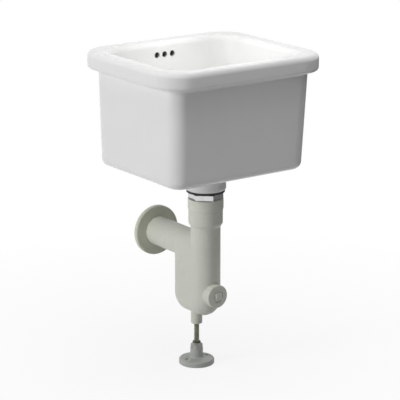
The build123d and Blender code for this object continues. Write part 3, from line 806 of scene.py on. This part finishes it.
class SINK_OT_metal_fittings(bpy.types.Operator):
    """Gives the chrome, stainless, galvanised and zinc plated pieces their metal"""

    bl_idname = "laundry_sink.metal_fittings"
    bl_label = "Metal fittings"

    def execute(self, context):
        metal = context.scene.sink_metal
        lay_on(chrome_plate(metal), BRIGHT)
        brushed = worked_metal(
            "brushed_stainless",
            metal.stainless,
            rough=0.26,
            stretch=(6, 0.6, 6),
            spangle=90,
            height=0.00002,
        )
        lay_on(brushed, BRUSHED)
        galvanised = worked_metal(
            "galvanised_steel",
            metal.galvanised,
            rough=0.46,
            stretch=(1, 1, 1),
            spangle=160,
            height=0.00004,
        )
        lay_on(galvanised, GALVANISED)
        plated = worked_metal(
            "plated_nut",
            metal.lock_nut,
            rough=0.4,
            stretch=(1, 1, 5),
            spangle=420,
            height=0.00003,
            bare=0.2,
        )
        lay_on(plated, PLATED_NUT)
        return {"FINISHED"}


class SINK_OT_rubber_parts(bpy.types.Operator):
    """Gives the gaskets, pads, rings and the stopper their rubber"""

    bl_idname = "laundry_sink.rubber_parts"
    bl_label = "Rubber parts"

    def execute(self, context):
        rubber = context.scene.sink_rubber
        lay_on(moulded_rubber("black_rubber", rubber.black, 0.5), BLACK_RUBBER)
        lay_on(moulded_rubber("ring_rubber", rubber.ring, 0.55), STUD_RING)
        lay_on(moulded_rubber("stopper_rubber", rubber.stopper, 0.38), STOPPER)
        lay_on(moulded_rubber("pale_rubber", rubber.pale, 0.6), PALE_RUBBER)
        return {"FINISHED"}


class SINK_OT_threaded_stud(bpy.types.Operator):
    """Makes the stud of the foot with a right-hand thread in place of its ring grooves"""

    bl_idname = "laundry_sink.threaded_stud"
    bl_label = "Threaded stud"

    def execute(self, context):
        stud = ringed_surface(
            "threaded_stud", stud_rings(context.scene.sink_stud, stud_low, stud_high)
        )
        stud.data.set_sharp_from_angle(angle=SHARP_EDGE)
        plate = worked_metal(
            "stud_plate",
            context.scene.sink_metal.stud,
            rough=0.4,
            stretch=(1, 1, 4),
            spangle=500,
            height=0.00003,
        )
        stud.data.materials.append(plate)
        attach(stud, "stud")
        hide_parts("foot_stud")
        return {"FINISHED"}


class SINK_OT_studio(bpy.types.Operator):
    """Makes the floor, the lamps, the ambient light and the camera"""

    bl_idname = "laundry_sink.studio"
    bl_label = "Studio"

    def execute(self, context):
        studio = context.scene.sink_studio
        pale_floor(studio)
        ambient_light(context.scene, studio)
        for name, power, width, height, stand, aim in LAMPS:
            lamp(name, getattr(studio, power), width, height, stand, aim)
        dark_card()
        camera = bpy.data.cameras.new("photo_camera")
        camera.sensor_width = SENSOR_WIDTH
        camera.lens = studio.lens
        camera.clip_start = CLIP_START
        camera.clip_end = CLIP_END
        viewer = bpy.data.objects.new("photo_camera", camera)
        viewer.location = studio.camera_place
        viewer.rotation_euler = (radians(90) - studio.camera_dip, 0, -studio.camera_turn)
        context.scene.collection.objects.link(viewer)
        context.scene.camera = viewer
        context.scene.view_settings.view_transform = "Standard"
        return {"FINISHED"}


def white_to_the_eye(tree):
    """1 for rays from the camera, a mirror or glass, and 0 for the light that falls on things."""
    path = tree.nodes.new("ShaderNodeLightPath")
    first = tree.nodes.new("ShaderNodeMath")
    second = tree.nodes.new("ShaderNodeMath")
    first.operation = "MAXIMUM"
    second.operation = "MAXIMUM"
    tree.links.new(path.outputs["Is Camera Ray"], first.inputs[0])
    tree.links.new(path.outputs["Is Glossy Ray"], first.inputs[1])
    tree.links.new(first.outputs["Value"], second.inputs[0])
    tree.links.new(path.outputs["Is Transmission Ray"], second.inputs[1])
    return second.outputs["Value"]


def pale_floor(studio):
    """A flat floor, white to the eye apart from the object's shadow, which fades outwards."""
    size = studio.floor_size
    floor = panel("pale_floor", (-size, -size, cad_low.z), (2 * size, 0, 0), (0, 2 * size, 0))
    finish = bpy.data.materials.new("pale_floor")
    finish.use_nodes = True
    tree = finish.node_tree
    tree.nodes.clear()
    output = tree.nodes.new("ShaderNodeOutputMaterial")
    matt = tree.nodes.new("ShaderNodeBsdfDiffuse")
    grain = spread(tree, cloud(tree, 30, 4), 0.3, 0.7, 0, 1)
    colour = tint(tree, grain, shade(studio.floor_colour, 0.97), studio.floor_colour)
    eye = white_to_the_eye(tree)
    tree.links.new(tint(tree, eye, colour, WHITE), matt.inputs["Color"])
    white = tree.nodes.new("ShaderNodeEmission")
    white.inputs["Color"].default_value = WHITE
    white.inputs["Strength"].default_value = 1.0
    reach = tree.nodes.new("ShaderNodeVectorMath")
    reach.operation = "LENGTH"
    tree.links.new(place(tree), reach.inputs[0])
    faded = spread(
        tree, reach.outputs["Value"], SHADOW_RADIUS, WHITE_RADIUS, WHITE_BY_THE_OBJECT, 1.0
    )
    share = tree.nodes.new("ShaderNodeMath")
    share.operation = "MULTIPLY"
    tree.links.new(eye, share.inputs[0])
    tree.links.new(faded, share.inputs[1])
    mix = tree.nodes.new("ShaderNodeMixShader")
    tree.links.new(share.outputs["Value"], mix.inputs["Fac"])
    tree.links.new(matt.outputs["BSDF"], mix.inputs[1])
    tree.links.new(white.outputs["Emission"], mix.inputs[2])
    tree.links.new(mix.outputs["Shader"], output.inputs["Surface"])
    floor.data.materials.append(finish)


def dark_card():
    """A grey card to the right, which shows only in shiny metal and in the glaze."""
    card = panel("dark_card", CARD_CORNER, (0, CARD_WIDTH, 0), (0, 0, CARD_HEIGHT))
    card.visible_camera = False
    card.visible_diffuse = False
    card.visible_shadow = False
    finish, tree, shader = new_finish("dark_card")
    tree.links.new(
        tint(tree, cloud(tree, 4, 2), (0.34, 0.34, 0.33), (0.38, 0.38, 0.37)),
        shader.inputs["Base Color"],
    )
    shader.inputs["Roughness"].default_value = 0.9
    card.data.materials.append(finish)


def ambient_light(scene, studio):
    """Even light from all round, with a white background to the eye and in mirrors."""
    world = bpy.data.worlds.new("studio_walls")
    world.use_nodes = True
    tree = world.node_tree
    tree.nodes.clear()
    output = tree.nodes.new("ShaderNodeOutputWorld")
    even = tree.nodes.new("ShaderNodeBackground")
    even.inputs["Color"].default_value = AMBIENT_COLOUR
    even.inputs["Strength"].default_value = studio.ambient
    white = tree.nodes.new("ShaderNodeBackground")
    white.inputs["Color"].default_value = WHITE
    white.inputs["Strength"].default_value = 1.0
    mix = tree.nodes.new("ShaderNodeMixShader")
    tree.links.new(white_to_the_eye(tree), mix.inputs["Fac"])
    tree.links.new(even.outputs["Background"], mix.inputs[1])
    tree.links.new(white.outputs["Background"], mix.inputs[2])
    tree.links.new(mix.outputs["Shader"], output.inputs["Surface"])
    scene.world = world


def lamp(name, power, width, height, stand, aim):
    """A soft rectangular lamp that stands at one point and shines at another."""
    light = bpy.data.lights.new(name, "AREA")
    light.shape = "RECTANGLE"
    light.size = width
    light.size_y = height
    light.energy = power
    holder = bpy.data.objects.new(name, light)
    holder.location = stand
    direction = Vector(aim) - Vector(stand)
    holder.rotation_euler = direction.to_track_quat("-Z", "Y").to_euler()
    holder.visible_camera = False
    holder.visible_glossy = False
    bpy.context.scene.collection.objects.link(holder)


# Panel and registration

OPERATORS = (
    SINK_OT_glazed_basin,
    SINK_OT_painted_castings,
    SINK_OT_metal_fittings,
    SINK_OT_rubber_parts,
    SINK_OT_threaded_stud,
    SINK_OT_studio,
)
SETTINGS = {
    "sink_glaze": GlazeSettings,
    "sink_paint": PaintSettings,
    "sink_metal": MetalSettings,
    "sink_rubber": RubberSettings,
    "sink_stud": StudSettings,
    "sink_studio": StudioSettings,
}


class SINK_PT_laundry_sink(bpy.types.Panel):
    """Lists the sizes, the colours and the steps that make the sink"""

    bl_label = "Laundry sink"
    bl_space_type = "VIEW_3D"
    bl_region_type = "UI"
    bl_category = "Laundry sink"

    def draw(self, context):
        for key in SETTINGS:
            group = getattr(context.scene, key)
            box = self.layout.box()
            for prop in group.bl_rna.properties:
                if prop.identifier not in ("rna_type", "name"):
                    box.prop(group, prop.identifier)
        for operator in OPERATORS:
            self.layout.operator(operator.bl_idname)


def register():
    for key, settings in SETTINGS.items():
        bpy.utils.register_class(settings)
        setattr(bpy.types.Scene, key, bpy.props.PointerProperty(type=settings))
    for kind in (*OPERATORS, SINK_PT_laundry_sink):
        bpy.utils.register_class(kind)


def unregister():
    for kind in (SINK_PT_laundry_sink, *reversed(OPERATORS)):
        bpy.utils.unregister_class(kind)
    for key, settings in SETTINGS.items():
        delattr(bpy.types.Scene, key)
        bpy.utils.unregister_class(settings)


def main():
    """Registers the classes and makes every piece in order."""
    register()
    bpy.ops.laundry_sink.glazed_basin()
    bpy.ops.laundry_sink.painted_castings()
    bpy.ops.laundry_sink.metal_fittings()
    bpy.ops.laundry_sink.rubber_parts()
    bpy.ops.laundry_sink.threaded_stud()
    bpy.ops.laundry_sink.studio()
    bpy.context.view_layer.update()


if __name__ == "__main__":
    main()
